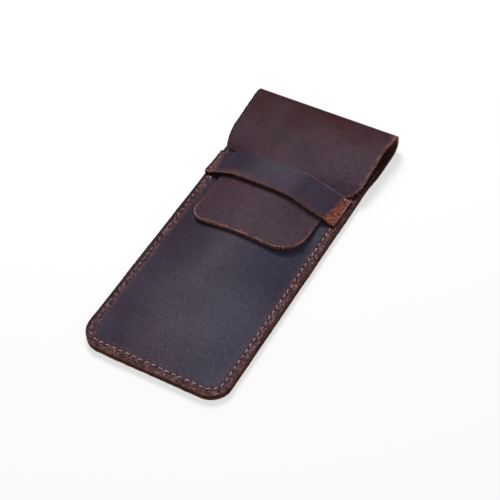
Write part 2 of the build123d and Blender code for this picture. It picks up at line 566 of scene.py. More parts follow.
def flap_half_at(y, side):
    """Half the flap's cut width on one side: straight, in round the shoulder, then the
    tongue's."""
    straight, start_y, radius = side
    past = np.clip(start_y - y, 0, shoulder_share * radius)
    shoulder = straight - radius + np.sqrt(radius**2 - past**2)
    shoulder += (flap_half - straight) * ease(y, *widening_to_fold)
    to_tongue = ease(y, tongue_start_y + tongue_turn, tongue_start_y - tongue_turn)
    return shoulder + (tongue_half - shoulder) * to_tongue


def roll_bulge(turn):
    """How far the roll springs out of its round form, by its turn in radians: the bent leather
    stands up a little."""
    return roll_rise * ease(turn, *roll_springs)


def tongue_curl(x, y):
    """The tongue's free corners lift off the front panel a little, the right one more."""
    right = curl_right * ease(x, *curl_right_across)
    left = curl_left * ease(x, *curl_left_across)
    return ease(y, *curl_down) * (right + left)


def make_long_leather():
    """The one long piece: back, roll, flap and tongue. It is shaped whole, so that its parts
    meet without a seam, and then split where it bends."""
    columns = np.array(columns_across())
    back_rows = [bottom_y + e for e in edge_steps]
    by_fold_y = fold_axis_y - end_step
    back_rows += even_steps(back_rows[-1], by_fold_y, fine_step) + [by_fold_y, fold_axis_y]
    turn_shares = (0.02, *even_steps(0.02, 0.49, 0.035), 0.49, 0.5)
    roll_turns = [math.pi * share for share in turn_shares]
    roll_turns += [math.pi - t for t in reversed(roll_turns[:-1])]
    flap_rows = [fold_axis_y, by_fold_y]
    flap_rows += even_steps(by_fold_y, close_rows_y, fine_step)
    flap_rows += [close_rows_y - close_row_step * i for i in range(close_rows)]
    tip_rows = [tip_y + e for e in reversed(edge_steps + tip_steps)]
    flap_rows += even_steps(flap_rows[-1], tip_rows[0], fine_step) + tip_rows
    rows = len(back_rows) + len(roll_turns) + len(flap_rows)
    row_y = np.array(back_rows + [0.0] * len(roll_turns) + flap_rows)
    row_turn = np.array([0.0] * len(back_rows) + roll_turns + [math.pi] * len(flap_rows))
    row_part = np.array([0] * len(back_rows) + [1] * len(roll_turns) + [2] * len(flap_rows))

    sheet, column, row = new_grid("long_leather", columns, range(rows))
    flat_x = -columns[column]
    part = row_part[row]
    y = row_y[row]
    turn = row_turn[row]

    # The back: flat, with rounded bottom corners, spreading above the sewn width
    flared = ease(y - mouth_y, -flare_start, flare_length - flare_start)
    spread = 1 + (flap_half / body_half - 1) * flared
    on_back = part == 0
    back_x, back_y = round_corners(flat_x, y, body_half, bottom_y, worn_corner, bottom_corner)
    x = np.where(on_back, back_x * spread, flat_x * flap_half / body_half)
    placed_y = np.where(on_back, back_y, y)
    z = np.zeros_like(x)

    # The roll
    on_roll = part == 1
    bulge = roll_bulge(turn)
    roll_y = fold_axis_y + (fold_radius + bulge) * np.sin(turn)
    placed_y = np.where(on_roll, roll_y, placed_y)
    z = np.where(on_roll, fold_radius - (fold_radius + bulge) * np.cos(turn), z)

    # The flap and tongue: narrowing, slanted where they meet the strap, arched across
    on_flap = part == 2
    half = np.where(flat_x < 0, flap_half_at(y, flap_left), flap_half_at(y, flap_right))
    lean = ease(y, *lean_from_fold) * ease(y, *lean_from_tip)
    flap_x = flat_x * half / body_half
    cut_x, cut_y = round_corners(flap_x, y, half, tip_y, tip_corner_left, tip_corner_right)
    slanted_y = cut_y - cut_x * math.tan(strap_skew) * lean
    x = np.where(on_flap, cut_x, x)
    placed_y = np.where(on_flap, slanted_y, placed_y)
    flap_z = flap_top - arch_drop(cut_x, slope_at(slanted_y))
    lift = undulation(cut_x, slanted_y) * ease(fold_axis_y - slanted_y, 0, uneven_from_fold)
    lift += roll_rise * ease(slanted_y, spring_start_y, fold_axis_y)
    lift += tongue_curl(cut_x, slanted_y)
    lift -= flap_follows * pressed(cut_x) * under_strap(slanted_y)
    z = np.where(on_flap, flap_z + lift, z)

    inset = np.where(on_back, body_half - np.abs(flat_x), half * (1 - np.abs(flat_x) / body_half))
    inset = np.where(on_back, np.minimum(inset, y - bottom_y), inset)
    inset = np.where(on_flap, np.minimum(inset, y - tip_y), inset)
    place_points(sheet, x, placed_y, z)
    keep_value(sheet, "inset", inset)
    give_materials(sheet, "flap_grain", "flesh", "raw_edge")
    give_thickness(sheet)
    roughen_cut_edge(sheet, fray=0.22, grain=0.9, wander=0.25)
    return sheet


def sink_back_seam(piece):
    """The back's stitching groove, drawn in from the grain side only."""
    places = points_of(piece) / MM
    inset = kept_value(piece, "inset")
    outer = places[:, 2] < leather / 2
    sewn = ease(mouth_y - places[:, 1], 0, groove_start)
    pits = near_hole(places[:, 0], places[:, 1], inset, hole_places(back_spans))
    from_seam = inset - seam_inset_at(places[:, 0], places[:, 1])
    dip = seam_dip(from_seam, pits, valley=0.5, pit=0.25)
    places[:, 2] += np.where(outer, dip * sewn, 0)
    keep_value(piece, "hole", np.where(outer, pits * sewn, 0))
    place_points(piece, places[:, 0], places[:, 1], places[:, 2])


def make_front():
    """The front panel: sewn rim, drawn-in seam and crowned middle."""
    columns = np.array(columns_across())
    rows = [bottom_y + e for e in edge_steps]
    rows += even_steps(rows[-1], mouth_y, fine_step) + [mouth_y]
    rows = np.array(rows)
    sheet, column, row = new_grid("front_leather", columns, rows)
    flat_x, flat_y = columns[column], rows[row]
    x, y = round_corners(flat_x, flat_y, body_half, bottom_y, worn_corner, bottom_corner)
    inset = np.minimum(body_half - np.abs(flat_x), flat_y - bottom_y)

    crown_half = body_half - crown_inset
    over = np.clip(1 - (flat_x / crown_half) ** 2, 0, None)
    fade = np.clip((flat_y - bottom_y - crown_inset) / crown_fade, 0, 1)
    crown = (front_crest - rim_top) * over * (1 - (1 - fade) ** 2)
    slack = undulation(x, y)
    pits = near_hole(x, y, inset, hole_places(front_spans))
    dip = seam_dip(inset - seam_inset_at(x, y), pits, valley=0.2, pit=0.36)
    hang = edge_hang * ease(inset, edge_hang_width, 0)
    crown -= np.minimum(front_follows * pressed(x) * under_strap(y), most_pressed * crown)
    place_points(sheet, x, y, rim_top + crown + slack - dip - hang)
    keep_value(sheet, "inset", inset)
    keep_value(sheet, "hole", pits)
    give_materials(sheet, "front_grain", "flesh", "front_edge")
    give_thickness(sheet)
    roughen_cut_edge(sheet, fray=0.16, grain=1.1, wander=0.3)
    smooth_shading(sheet)
    return sheet


def strap_top_z(x):
    """The strap's grain side: a flat foot at each end, a climb, and an arch over the tongue."""
    crest = flap_top + lay_gap + strap_thickness
    arch = crest - arch_drop(x, arch_slope) - pressed(x)
    foot_x = np.where(x < 0, strap_foot_left, strap_foot_right)
    climb = strap_foot_top + strap_climb * (foot_x - np.abs(x))
    return -soft_least(-soft_least(arch, climb, 3), -strap_foot_top, 4)


def make_strap():
    """The retaining strap, laid slightly aslant and a little wider at its left end."""
    profile = [-strap_left, -strap_left + end_step]
    profile += even_steps(profile[-1], strap_right - end_step, fine_step)
    profile = np.array(profile + [strap_right - end_step, strap_right])
    half = strap_width / 2
    lower = [-half + e for e in strap_steps]
    upper = [-c for c in reversed(lower)]
    columns = np.array(lower + even_steps(lower[-1], upper[0], strap_wide_step) + upper)
    sheet, column, row = new_grid("strap_leather", columns, profile)
    along_x = profile[row]
    z = strap_top_z(along_x)
    wide = 1 - strap_taper * along_x / strap_width
    waves = [noise.noise(Vector((a / strap_bow_length, 2.0, 1.0))) for a in along_x]
    bow = strap_bow * np.array(waves)
    cross_y = columns[column] * wide + bow
    x = along_x * math.cos(strap_skew) + cross_y * math.sin(strap_skew)
    y = strap_y - along_x * math.sin(strap_skew) + cross_y * math.cos(strap_skew)
    across_share = (columns[column] + half) / strap_width
    x = x - strap_end_slant * across_share * ease(along_x, *strap_slanted_end)
    end_inset = np.where(along_x < 0, strap_left + along_x, strap_right - along_x)
    lift = strap_lip_lift * ease(-cross_y, 0, half) * ease(end_inset, 0, strap_lip_fade)
    slack = undulation(x, y) * ease(end_inset, 0, strap_slack_fade)
    inset = half - np.abs(columns[column])
    holes = hole_places([span for span in front_spans if span[2]])
    sewn_inset = body_half - np.abs(x)
    sewn = ease(end_inset, *strap_sewn)
    pits = near_hole(x, y, sewn_inset, holes) * sewn
    dip = seam_dip(sewn_inset - seam_inset_at(x, y), pits, valley=0.2, pit=0.32) * sewn
    place_points(sheet, x, y, z + lift + slack - dip)
    keep_value(sheet, "hole", pits)
    keep_value(sheet, "inset", np.minimum(inset, end_inset))
    left_x = -left_foot_start - left_foot_slant * across_share
    right_x = right_foot_start - right_foot_curve * (1 - across_share) ** 2
    left_foot = ease(left_x - along_x, -left_foot_blur, left_foot_blur)
    right_foot = ease(along_x - right_x, -right_foot_blur, right_foot_blur)
    keep_value(sheet, "foot", left_foot + right_foot)
    keep_value(sheet, "from_lower_edge", columns[column] + half)
    give_materials(sheet, "strap_grain", "flesh", "strap_edge")
    edit_whole(sheet, bpy.ops.mesh.flip_normals)
    give_thickness(sheet, strap_thickness)
    roughen_cut_edge(sheet, fray=0.26, grain=0.8, wander=0.35)
    smooth_shading(sheet)
    return sheet


# Thread


def stitch_mesh():
    """One stitch of unit length along X: two plies of thread twisted together, standing up in
    the middle and going down into the leather at both ends. Heights are in millimetres."""
    bpy.ops.object.select_all(action="DESELECT")
    bpy.ops.mesh.primitive_cylinder_add(
        vertices=stitch_sides, radius=0.5, depth=1, end_fill_type="NGON"
    )
    stitch = bpy.context.object
    start_editing()
    bpy.ops.mesh.select_all(action="DESELECT")
    stop_editing()
    for edge in stitch.data.edges:
        a, b = (stitch.data.vertices[v].co for v in edge.vertices)
        edge.select = abs(a.z - b.z) > 0.5
    start_editing()
    bpy.ops.mesh.subdivide(number_cuts=stitch_rings)
    stop_editing()
    points = points_of(stitch)
    share = points[:, 2] + 0.5
    around = np.arctan2(points[:, 1], points[:, 0])
    twist = share * stitch_twists * 2 * math.pi
    lobes = ply_waist + ply_swell * np.abs(np.cos(around - twist))
    off_axis = np.hypot(points[:, 0], points[:, 1]) > 0.1
    radius = thread_thickness / 2 * lobes * off_axis
    from_middle = np.abs(2 * share - 1)
    taper = 1 - stitch_taper * from_middle**4
    arch = stitch_rise - (stitch_rise + stitch_sink) * from_middle**3.2
    across_thread = radius * taper * np.cos(around)
    up_thread = arch + radius * taper * np.sin(around)
    set_points(stitch, np.column_stack([share - 0.5, across_thread, up_thread]))
    edit_whole(stitch, bpy.ops.mesh.normals_make_consistent, inside=False)
    return stitch


def make_thread(name, spans, base_z, up):
    """All the stitches of one side, each a copy of one stitch, turned along the seam with the
    slight slant of a saddle stitch. up is +1 for the front's side and -1 for the back's."""
    model = stitch_mesh()
    base = points_of(model)
    faces = [list(face.vertices) for face in model.data.polygons]
    points, all_faces, soil = [], [], []
    stitches = [(*seam_point(middle), *rest) for middle, *rest in spans]
    if up > 0:
        stitches.append((*loose_end, False))
    for number, ((x, y), heading, length, on_strap) in enumerate(stitches):
        heading += stitch_slant
        shape = base.copy()
        shape[:, 0] *= length - stitch_gap
        shape[:, 2] *= up
        turned_x = x + shape[:, 0] * math.cos(heading) - shape[:, 1] * math.sin(heading)
        turned_y = y + shape[:, 0] * math.sin(heading) + shape[:, 1] * math.cos(heading)
        level = strap_top_z(x) - strap_stitch_sink if on_strap else base_z
        offset = len(points) * len(base)
        points.append(np.column_stack([turned_x, turned_y, level + shape[:, 2]]))
        uneven = soil_usual + soil_varies * noise.noise(Vector((number * 0.71, 3.0, 8.0)))
        on_left = soil_on_left * float(ease(x, -24, -32))
        worn = uneven + on_left if (x, y) != loose_end[0] else 0
        soil += [min(1, max(0, worn + soil_on_strap * on_strap))] * len(base)
        all_faces += [[v + offset for v in face][::up] for face in faces]
    mesh = bpy.data.meshes.new(name)
    mesh.from_pydata((np.vstack(points) * MM).tolist(), [], all_faces)
    mesh.update()
    thread = bpy.data.objects.new(name, mesh)
    bpy.context.scene.collection.objects.link(thread)
    bpy.data.objects.remove(model)
    keep_value(thread, "soil", np.array(soil))
    thread.data.materials.append(bpy.data.materials["sewing_thread"])
    smooth_shading(thread)
    return thread


# Materials: places along X and Y are in metres here, insets and bump depths in millimetres


class Nodes:
    """A short way to write a material's nodes."""

    def __init__(self, name, roughness, specular):
        material = bpy.data.materials.new(name)
        material.use_nodes = True
        self.tree = material.node_tree
        self.shader = self.tree.nodes["Principled BSDF"]
        self.put(self.shader, {"Roughness": roughness, "Specular IOR Level": specular})
        self.place = self.add("ShaderNodeTexCoord").outputs["Object"]

    def put(self, node, inputs):
        """Links an output to each of these inputs, or writes a plain value there."""
        for name, value in inputs.items():
            if isinstance(value, bpy.types.NodeSocket):
                self.tree.links.new(value, node.inputs[name])
            else:
                node.inputs[name].default_value = value

    def add(self, kind, inputs=None, **settings):
        """A new node with these settings and inputs."""
        node = self.tree.nodes.new(kind)
        for key, value in settings.items():
            setattr(node, key, value)
        self.put(node, inputs or {})
        return node

    def stretched(self, scale=(1, 1, 1), shift=(0, 0, 0), angle=0.0):
        """Object coordinates turned about Z, stretched by this scale and shifted."""
        turned = self.add("ShaderNodeMapping", {"Vector": self.place, "Rotation": (0, 0, angle)})
        inputs = {"Vector": turned.outputs["Vector"], "Scale": scale, "Location": shift}
        return self.add("ShaderNodeMapping", inputs).outputs["Vector"]

    def noise(self, scale, detail=3.0, rough=0.5, vector=None, distortion=0.0):
        inputs = {"Vector": vector or self.place, "Scale": scale, "Detail": detail}
        inputs |= {"Roughness": rough, "Distortion": distortion}
        return self.add("ShaderNodeTexNoise", inputs).outputs["Fac"]

    def cells(self, scale):
        node = self.add("ShaderNodeTexVoronoi", {"Vector": self.place, "Scale": scale})
        return node.outputs["Distance"]

    def value(self, name):
        """One of the numbers that keep_value kept."""
        return self.add("ShaderNodeAttribute", attribute_name=name).outputs["Fac"]

    def axis(self, name):
        return self.add("ShaderNodeSeparateXYZ", {0: self.place}).outputs[name]

    def math(self, operation, a, b=0.0, clamp=False):
        node = self.add("ShaderNodeMath", {0: a, 1: b}, operation=operation, use_clamp=clamp)
        return node.outputs[0]

    def ramp(self, value, low, high, to_low=0.0, to_high=1.0):
        """A value between low and high, turned into one between to_low and to_high."""
        inputs = {"Value": value, "From Min": low, "From Max": high}
        inputs |= {"To Min": to_low, "To Max": to_high}
        node = self.add("ShaderNodeMapRange", inputs, interpolation_type="SMOOTHSTEP")
        return node.outputs["Result"]

    def mix(self, share, a, b):
        """Two colours mixed: the first where share is 0, and the second where it is 1."""
        a, b = (c if isinstance(c, bpy.types.NodeSocket) else (*c, 1) for c in (a, b))
        node = self.add("ShaderNodeMix", {"Factor": share, "A": a, "B": b}, data_type="RGBA")
        return node.outputs["Result"]

    def over(self, colour, tone, *shares):
        """A colour with this tone laid over it, by all these shares multiplied."""
        return self.mix(self.times(*shares), colour, tone)

    def shaded(self, colour, amount):
        """A colour made darker or lighter by this factor."""
        inputs = {0: colour, "Scale": amount}
        return self.add("ShaderNodeVectorMath", inputs, operation="SCALE").outputs[0]

    def area(self, across, along):
        """1 in one corner of a surface: from none to full along X and along Y."""
        return self.times(self.ramp(self.axis("X"), *across), self.ramp(self.axis("Y"), *along))

    def band(self, value, middle, full, none):
        """1 within full of the middle value, falling to 0 at none from it."""
        away = self.math("ABSOLUTE", self.math("SUBTRACT", value, middle))
        return self.ramp(away, full, none, 1.0, 0.0)

    def times(self, *shares):
        out = shares[0]
        for share in shares[1:]:
            out = self.math("MULTIPLY", out, share)
        return out

    def bump(self, height, depth, strength, over=None):
        """Adds a bump of this depth in millimetres, over another bump if one is given."""
        inputs = {"Strength": strength, "Distance": depth * MM, "Height": height}
        if over is not None:
            inputs["Normal"] = over
        return self.add("ShaderNodeBump", inputs).outputs["Normal"]

    def finish(self, colour, normal, roughness=None):
        """Links what the shader takes from other nodes."""
        self.put(self.shader, {"Base Color": colour, "Normal": normal})
        if roughness is not None:
            self.put(self.shader, {"Roughness": roughness})


# Leather colours, as they look in plain light; a few also serve as painted sheen and painted
# shade
PLUM_AND_SHEEN = (0.055, 0.041, 0.063)
BLUE = (0.061, 0.059, 0.088)
PAINTED_SHEEN_MAUVE = (0.082, 0.064, 0.086)
TONGUE_SHADOW_INDIGO = (0.035, 0.033, 0.056)
INK = (0.035, 0.024, 0.040)
NIGHT_AND_SHADE = (0.026, 0.017, 0.031)
WINE = (0.059, 0.026, 0.038)
VIOLET = (0.061, 0.037, 0.051)
MAROON = (0.047, 0.009, 0.014)
SHEEN = (0.085, 0.064, 0.085)
RIM_RED = (0.076, 0.025, 0.028)
RIM_ROSE = (0.27, 0.155, 0.162)
RIM_OLIVE = (0.070, 0.046, 0.034)
RIM_DARK_AND_SHADE = (0.014, 0.005, 0.005)
RUST = (0.25, 0.064, 0.036)
SPARK = (0.52, 0.34, 0.20)
FOOT_ROSE = (0.125, 0.048, 0.052)
STRAP_RUBBED = (0.115, 0.050, 0.038)
EDGE_TAN = (0.34, 0.19, 0.15)
EDGE_STRAW = (0.22, 0.17, 0.12)
EDGE_ROSE = (0.30, 0.20, 0.21)
EDGE_BROWN = (0.15, 0.058, 0.040)
EDGE_DARK_AND_SHADE = (0.016, 0.005, 0.004)
EDGE_RED = (0.17, 0.045, 0.035)
CUT_RED = (0.32, 0.12, 0.09)
FLESH_LIGHT = (0.075, 0.040, 0.030)
FLESH_DARK = (0.030, 0.015, 0.011)
HOLE_SHADE = (0.006, 0.003, 0.003)
THREAD_LIGHT = (0.70, 0.54, 0.56)
THREAD_DARK = (0.40, 0.26, 0.28)
THREAD_SOILED = (0.16, 0.075, 0.080)


def grain_normal(nodes):
    """Waxed grain: fine pebbling, hair-cell pores, and slow creases."""
    depth = 0.06
    pebble = nodes.cells(1300)
    pores = nodes.noise(2400, 4, 0.6)
    creases = nodes.noise(150, 6, 0.62, distortion=0.8)
    swell = nodes.noise(38, 3, 0.5)
    normal = nodes.bump(swell, 1.6, 0.25)
    normal = nodes.bump(creases, 0.4, 0.4, normal)
    normal = nodes.bump(pebble, depth, 0.4, normal)
    return nodes.bump(pores, depth, 0.35, normal)


def finish_grain(nodes, colour, least_rough, most_rough):
    """Gives a grain side its colour, with the awl holes, the grain and an uneven roughness."""
    rough = nodes.ramp(nodes.noise(60, 3), 0.3, 0.7, least_rough, most_rough)
    nodes.finish(pierced(nodes, colour), grain_normal(nodes), rough)


def mottled(nodes, colour, deep, scale, seed):
    """Wax colour of the grain side, with deeper clouds in it."""
    shifted = nodes.stretched(shift=(seed, seed * 0.7, 0))
    slow = nodes.ramp(nodes.noise(scale, 3, 0.55, shifted), 0.36, 0.66, 0.0, 0.30)
    cloud = nodes.ramp(nodes.noise(scale * 4, 4, 0.6, shifted), 0.36, 0.7, 0.0, 0.25)
    return nodes.over(colour, deep, nodes.math("ADD", slow, cloud, clamp=True))


def speckled(nodes, colour, low, high, scale=1250):
    """Fine dark and light specks, at about the size of the leather's grain."""
    specks = nodes.ramp(nodes.noise(scale, 4, 0.75), 0.34, 0.66, low, high)
    return nodes.shaded(colour, specks)


def scuffed(nodes, colour, light, amount):
    """Faint marks of handling: thin strokes where the wax has been pushed aside."""
    out = colour
    for angle, seed in ((0.6, 3.1), (-0.9, 7.7)):
        along = nodes.stretched((640, 34, 260), (seed, 0, 0), angle)
        stroke = nodes.ramp(nodes.noise(1.0, 2, 0.5, along), 0.66, 0.76)
        shifted = nodes.stretched(shift=(seed, 1, 0))
        place = nodes.ramp(nodes.noise(46, 2, 0.5, shifted), 0.5, 0.7)
        out = nodes.over(out, light, stroke, place, amount)
    return out


def patches(nodes, scale, low, high, seed=0.0):
    """Uneven patches between two shares."""
    vector = nodes.stretched(shift=(seed, 0, 0))
    return nodes.ramp(nodes.noise(scale, 5, 0.66, vector), 0.36, 0.64, low, high)


def rubbed_rim(nodes, colour, full, none, amount):
    """The cut edge's neighbourhood, rubbed to a speckled red brown that fades inwards."""
    near = nodes.ramp(nodes.value("inset"), full, none, 1.0, 0.0)
    rose = nodes.ramp(nodes.noise(760, 3, 0.75), 0.50, 0.60)
    tone = nodes.mix(nodes.times(rose, 0.85), RIM_RED, RIM_ROSE)
    dark = nodes.ramp(nodes.noise(640, 3, 0.75), 0.42, 0.51, 0.92, 0.0)
    tone = nodes.over(tone, RIM_DARK_AND_SHADE, dark)
    share = nodes.times(near, patches(nodes, 260, 0.75, 1.0, 2.0), amount)
    return nodes.over(colour, tone, share)


def lip(nodes, colour, full, none, tone, share):
    """The line along the cut, where the grain side turns over."""
    near = nodes.ramp(nodes.value("inset"), full, none, 1.0, 0.0)
    return nodes.over(colour, tone, near, share)


def pierced(nodes, colour):
    """Awl holes between the stitches, painted dark as painted shade, and fainter on the left."""
    share = nodes.ramp(nodes.value("hole"), 0.35, 0.85)
    share = nodes.times(share, nodes.ramp(nodes.axis("X"), -0.030, -0.024, 0.35, 1.0))
    return nodes.over(colour, HOLE_SHADE, share)


def make_front_grain():
    """Front panel: plum, bluer on the lower right, with a speckled red-brown rim. It carries a
    painted sheen low in the middle, a painted shadow that makes it nearly black by the tongue,
    and painted shade on the left, on the upper left and along the outer line of its cut."""
    nodes = Nodes("front_grain", 0.5, 0.06)
    x = nodes.axis("X")
    y = nodes.axis("Y")
    colour = mottled(nodes, PLUM_AND_SHEEN, NIGHT_AND_SHADE, 20, 1.3)
    blue = nodes.area((-0.012, 0.018), (-0.018, -0.042))
    colour = nodes.over(colour, BLUE, blue, patches(nodes, 30, 0.6, 1.0, 6.0), 0.9)
    # Painted sheen: a lighter mauve low in the middle of the panel
    low_middle_sheen = nodes.times(nodes.band(x, 0.002, 0.004, 0.022), nodes.ramp(y, -0.046, -0.062))
    colour = nodes.over(colour, PAINTED_SHEEN_MAUVE, low_middle_sheen, 0.6)
    # Painted shadow of the tongue, on the panel just below it
    tongue_shadow = nodes.area((-0.004, 0.016), (-0.040, -0.016))
    colour = nodes.over(colour, TONGUE_SHADOW_INDIGO, tongue_shadow, 0.85)
    # Painted shade: darker on the upper left and towards the left flank
    upper_left_shade = nodes.area((0.002, -0.020), (-0.040, -0.012))
    colour = nodes.over(colour, NIGHT_AND_SHADE, upper_left_shade, 0.75)
    left = nodes.ramp(x, -0.006, -0.026, 0.0, 0.30)
    colour = nodes.over(colour, NIGHT_AND_SHADE, left)
    colour = scuffed(nodes, colour, SHEEN, 0.5)
    colour = speckled(nodes, colour, 0.72, 1.30)
    red_specks = nodes.ramp(nodes.noise(760, 3, 0.7), 0.48, 0.60)
    halo = nodes.ramp(nodes.value("inset"), 3.4, 6.6, 0.8, 0.0)
    colour = nodes.over(colour, RIM_RED, halo, red_specks)
    colour = rubbed_rim(nodes, colour, 2.4, 5.2, 1.0)
    # Painted shade: a dark line along the cut where it turns away, heavier on the left
    side = nodes.ramp(y, -0.0785, -0.074)
    left_side_shade = nodes.times(side, nodes.ramp(x, -0.016, -0.022))
    colour = lip(nodes, colour, 0.9, 1.7, RIM_DARK_AND_SHADE, nodes.times(left_side_shade, 0.95))
    colour = lip(nodes, colour, 0.1, 0.7, RIM_DARK_AND_SHADE, nodes.times(side, 0.85))
    low_end = nodes.ramp(y, -0.0775, -0.0735, 1.0, 0.0)
    tan = nodes.times(low_end, patches(nodes, 420, 0.1, 0.8, 5.0))
    colour = lip(nodes, colour, 0.3, 0.8, RIM_OLIVE, tan)
    finish_grain(nodes, colour, 0.46, 0.58)


def make_flap_grain():
    """Flap, tongue and back: wine brown with violet clouds, redder towards the fold, and darker
    in painted shade on the upper left, in the middle by the fold and along the outer left lip.
    The tongue's cut shows tan below and straw on its right, and the flap's right cut rose."""
    nodes = Nodes("flap_grain", 0.5, 0.05)
    x = nodes.axis("X")
    y = nodes.axis("Y")
    colour = mottled(nodes, WINE, NIGHT_AND_SHADE, 17, 4.1)
    violet = nodes.area((0.002, 0.028), (0.076, 0.060))
    colour = nodes.over(colour, VIOLET, violet, patches(nodes, 60, 0.6, 1.0))
    tongue = nodes.ramp(y, 0.030, 0.038, 1.0, 0.0)
    on_middle = nodes.times(tongue, nodes.ramp(x, -0.014, -0.002, 0.0, 0.6))
    colour = nodes.over(colour, VIOLET, on_middle)
    fold = nodes.times(nodes.ramp(y, 0.054, 0.076), patches(nodes, 60, 0.75, 1.0))
    fold = nodes.times(fold, nodes.ramp(x, 0.010, 0.030, 0.95, 0.5))
    colour = nodes.over(colour, MAROON, fold)
    # Painted shade: darker on the flap's upper left and in the middle by the fold
    top_left_shade = nodes.times(nodes.ramp(y, 0.040, 0.066), nodes.ramp(x, 0.012, -0.016), 0.40)
    colour = nodes.over(colour, RIM_DARK_AND_SHADE, top_left_shade)
    at_fold_shade = nodes.times(nodes.ramp(y, 0.062, 0.076), nodes.ramp(x, -0.012, 0.008), 0.26)
    colour = nodes.over(colour, RIM_DARK_AND_SHADE, at_fold_shade)
    colour = scuffed(nodes, colour, SHEEN, 0.4)
    colour = speckled(nodes, colour, 0.74, 1.26)
    colour = speckled(nodes, colour, 0.90, 1.12, 420)
    tongue_left = nodes.area((-0.014, -0.018), (0.004, 0.009))
    colour = rubbed_rim(nodes, colour, 0.4, 2.4, nodes.ramp(tongue_left, 0.0, 1.0, 0.55, 0.15))
    right = nodes.ramp(x, -0.012, 0.012)
    low = nodes.ramp(y, 0.002, 0.008, 1.0, 0.0)
    corner = nodes.ramp(low, 0.0, 1.0, 0.10, 0.85)
    tongue_share = nodes.times(tongue, nodes.math("MAXIMUM", corner, nodes.times(right, 0.6)))
    flap_share = nodes.times(nodes.math("SUBTRACT", 1.0, tongue), right, 0.55)
    share = nodes.math("ADD", tongue_share, flap_share)
    tone = nodes.mix(nodes.ramp(x, -0.008, 0.018), EDGE_TAN, EDGE_STRAW)
    tone = nodes.mix(tongue, EDGE_ROSE, tone)
    # Painted shade: a dark outer lip along the left
    colour = lip(nodes, colour, 0.4, 1.1, RIM_DARK_AND_SHADE, nodes.ramp(x, -0.030, -0.034, 0.0, 0.9))
    share = nodes.times(share, patches(nodes, 420, 0.15, 1.0, 5.0))
    colour = lip(nodes, colour, 0.25, 0.7, tone, share)
    finish_grain(nodes, colour, 0.46, 0.58)


def make_strap_grain():
    """Strap: dark plum blue, rubbed to rust at its right end, to rose at its left end, and to
    brown in a patch on its lower edge. A painted sheen lightens its middle, and painted shade
    darkens its left part and the outer lip of its left end."""
    nodes = Nodes("strap_grain", 0.48, 0.055)
    x = nodes.axis("X")
    from_lower = nodes.value("from_lower_edge")
    # Painted sheen lightens the middle, painted shade darkens the left, and the right is plum
    # again
    middle = nodes.band(x, 0.001, 0.006, 0.020)
    colour = nodes.mix(nodes.times(middle, 0.5), mottled(nodes, INK, NIGHT_AND_SHADE, 40, 2.6), PLUM_AND_SHEEN)
    colour = nodes.over(colour, NIGHT_AND_SHADE, nodes.ramp(x, -0.010, -0.018, 0.0, 0.75))
    colour = nodes.over(colour, PLUM_AND_SHEEN, nodes.ramp(x, 0.012, 0.018, 0.0, 0.45))
    colour = scuffed(nodes, colour, SHEEN, 0.5)
    lower = nodes.ramp(from_lower, 0.3, 5.0, 1.0, 0.0)
    patch = nodes.ramp(nodes.band(x, -0.019, 0.004, 0.012), 0.0, 1.0, 0.3, 1.0)
    rubbed = nodes.times(lower, patch, patches(nodes, 230, 0.25, 1.0), 0.8)
    colour = nodes.over(colour, STRAP_RUBBED, rubbed)
    colour = speckled(nodes, colour, 0.76, 1.24)
    end_tone = nodes.mix(nodes.ramp(x, -0.004, 0.004), FOOT_ROSE, RUST)
    end_tone = nodes.over(end_tone, RIM_RED, patches(nodes, 620, 0.0, 0.55, 3.0))
    dots = nodes.ramp(nodes.noise(950, 3, 0.7), 0.38, 0.47, 0.85, 0.0)
    end_tone = nodes.over(end_tone, RIM_DARK_AND_SHADE, dots)
    sparks = nodes.ramp(nodes.noise(1000, 2, 0.6, nodes.stretched(shift=(7, 0, 0))), 0.58, 0.66)
    sparks = nodes.times(sparks, nodes.ramp(x, -0.004, 0.004, 0.4, 0.8))
    end_tone = nodes.over(end_tone, SPARK, sparks)
    share = nodes.times(nodes.value("foot"), patches(nodes, 330, 0.8, 1.0))
    colour = nodes.over(colour, end_tone, share)
    upper_side = nodes.ramp(from_lower, 7.0, 9.0)
    upper_share = nodes.times(upper_side, nodes.ramp(x, 0.000, 0.018, 0.08, 0.65))
    lower_share = nodes.math("SUBTRACT", 1.0, upper_side)
    lower_share = nodes.times(lower_share, nodes.ramp(x, -0.020, -0.004, 0.8, 0.55))
    lip_tone = nodes.mix(upper_side, EDGE_BROWN, EDGE_ROSE)
    lip_tone = nodes.over(lip_tone, EDGE_TAN, nodes.ramp(x, -0.026, -0.020, 0.5, 0.0))
    lip_share = nodes.math("ADD", upper_share, lower_share)
    lip_share = nodes.times(lip_share, patches(nodes, 420, 0.3, 1.0))
    colour = lip(nodes, colour, 0.2, 0.5, lip_tone, lip_share)
    # Painted shade: a dark outer lip at the left end
    end = nodes.times(nodes.ramp(x, -0.0335, -0.0325, 1.0, 0.0), nodes.ramp(from_lower, 0.4, 1.2))
    colour = lip(nodes, colour, 0.6, 1.3, RIM_DARK_AND_SHADE, nodes.times(end, 0.95))
    finish_grain(nodes, colour, 0.42, 0.54)


def make_flesh():
    """The back of the leather: matt, with a short nap."""
    nodes = Nodes("flesh", 0.92, 0.12)
    nap = nodes.noise(900, 5, 0.7)
    slow = nodes.noise(60, 3, 0.6)
    colour = nodes.mix(nodes.ramp(slow, 0.3, 0.7), FLESH_DARK, FLESH_LIGHT)
    colour = nodes.over(colour, FLESH_DARK, nodes.ramp(nap, 0.35, 0.75, 0.0, 0.55))
    nodes.finish(colour, nodes.bump(nap, 0.12, 0.7))


